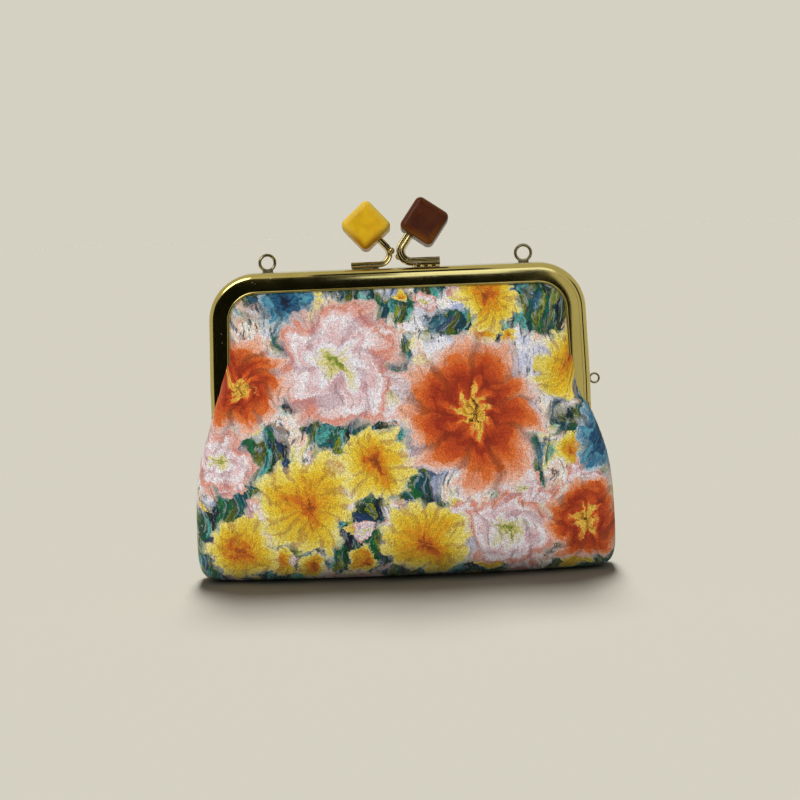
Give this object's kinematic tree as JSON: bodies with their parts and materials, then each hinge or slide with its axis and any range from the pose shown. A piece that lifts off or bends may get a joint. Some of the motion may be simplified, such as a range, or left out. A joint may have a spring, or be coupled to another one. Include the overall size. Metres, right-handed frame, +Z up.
{
  "type": "coin purse",
  "caption": "Kiss-lock coin purse: hinged pale gold channel frame with cube-bead clasp arms and small side eye, gripping a soft lined floral cloth pouch.",
  "frame": {"origin": "middle of the pouch's flat bottom, on the surface the purse stands on", "axes": "+X to the right along the frame, +Y to the back, +Z up; the hinge axis runs along X"},
  "size_m": [0.1378, 0.0468, 0.1244],
  "materials": {
    "pale_gold": "polished",
    "amber_resin": "gloss",
    "brown_resin": "gloss",
    "print_cloth": "matte",
    "lining_cloth": "matte",
    "cord_paper": "matte"
  },
  "bodies": {
    "pouch": {"front_pouch_panel": "print_cloth", "rear_pouch_panel": "print_cloth", "front_pouch_lining": "lining_cloth", "rear_pouch_lining": "lining_cloth", "hinge_rivet_left": "pale_gold", "hinge_rivet_right": "pale_gold"},
    "front_jaw": {"front_frame": "pale_gold", "front_upper_panel": "print_cloth", "front_upper_lining": "lining_cloth", "front_paper_cord": "cord_paper", "front_clasp_arm": "pale_gold", "brown_bead": "brown_resin"},
    "rear_jaw": {"rear_frame": "pale_gold", "rear_upper_panel": "print_cloth", "rear_upper_lining": "lining_cloth", "rear_paper_cord": "cord_paper", "rear_clasp_arm": "pale_gold", "yellow_bead": "amber_resin", "top_eye_left": "pale_gold", "top_eye_right": "pale_gold", "side_eye": "pale_gold"}
  },
  "joints": [
    {"name": "front_hinge", "type": "hinge", "parent": "pouch", "child": "front_jaw", "pos_m": [0, 0, 0.05], "axis": [1, 0, 0], "range_deg": [0, 45]},
    {"name": "rear_hinge", "type": "hinge", "parent": "pouch", "child": "rear_jaw", "pos_m": [0, 0, 0.05], "axis": [-1, 0, 0], "range_deg": [0, 45]}
  ],
  "couplings": [
    {"joint": "rear_hinge", "follows": "front_hinge", "ratio": 1}
  ]
}
